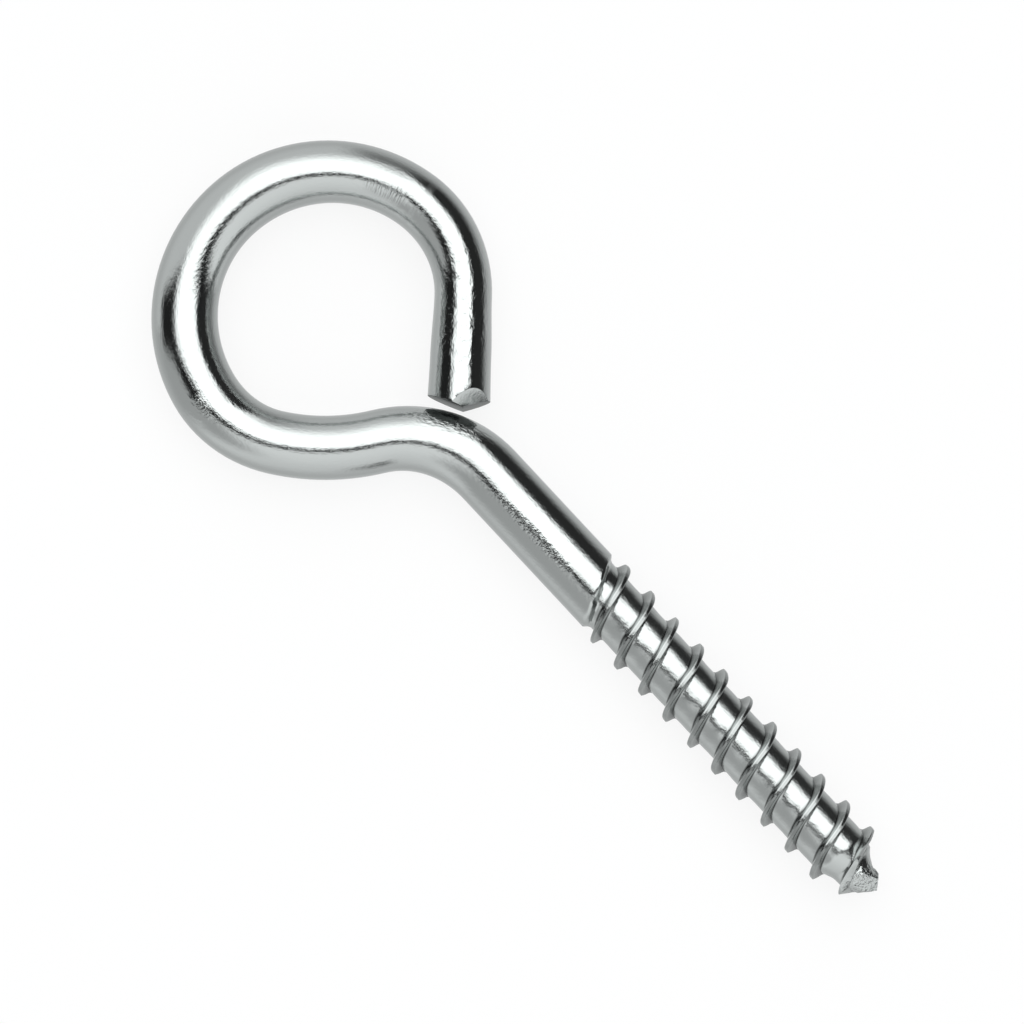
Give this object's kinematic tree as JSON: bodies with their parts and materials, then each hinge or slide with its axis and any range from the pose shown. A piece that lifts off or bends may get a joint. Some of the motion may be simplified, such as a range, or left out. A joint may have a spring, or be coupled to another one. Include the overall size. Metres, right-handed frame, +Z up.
{
  "type": "screw eye",
  "caption": "Zinc-plated steel screw eye: wire bent into a near-closed eye, on a shank with a coarse wood thread and a blunt point.",
  "frame": {"origin": "centre of the eye's main bend, in the middle of the wire's height", "axes": "+X runs from the eye along the shank to the point, +Y is across the eye on the side where the wire's end meets the neck, +Z is up, square to the eye's plane to within half a degree"},
  "size_m": [0.0799, 0.0292, 0.0067],
  "materials": {
    "zinc": "bright electroplated zinc on drawn and rolled steel wire, nearly mirror-like, with fine draw lines"
  },
  "bodies": {
    "root": {"screw_eye": "zinc"}
  },
  "joints": []
}
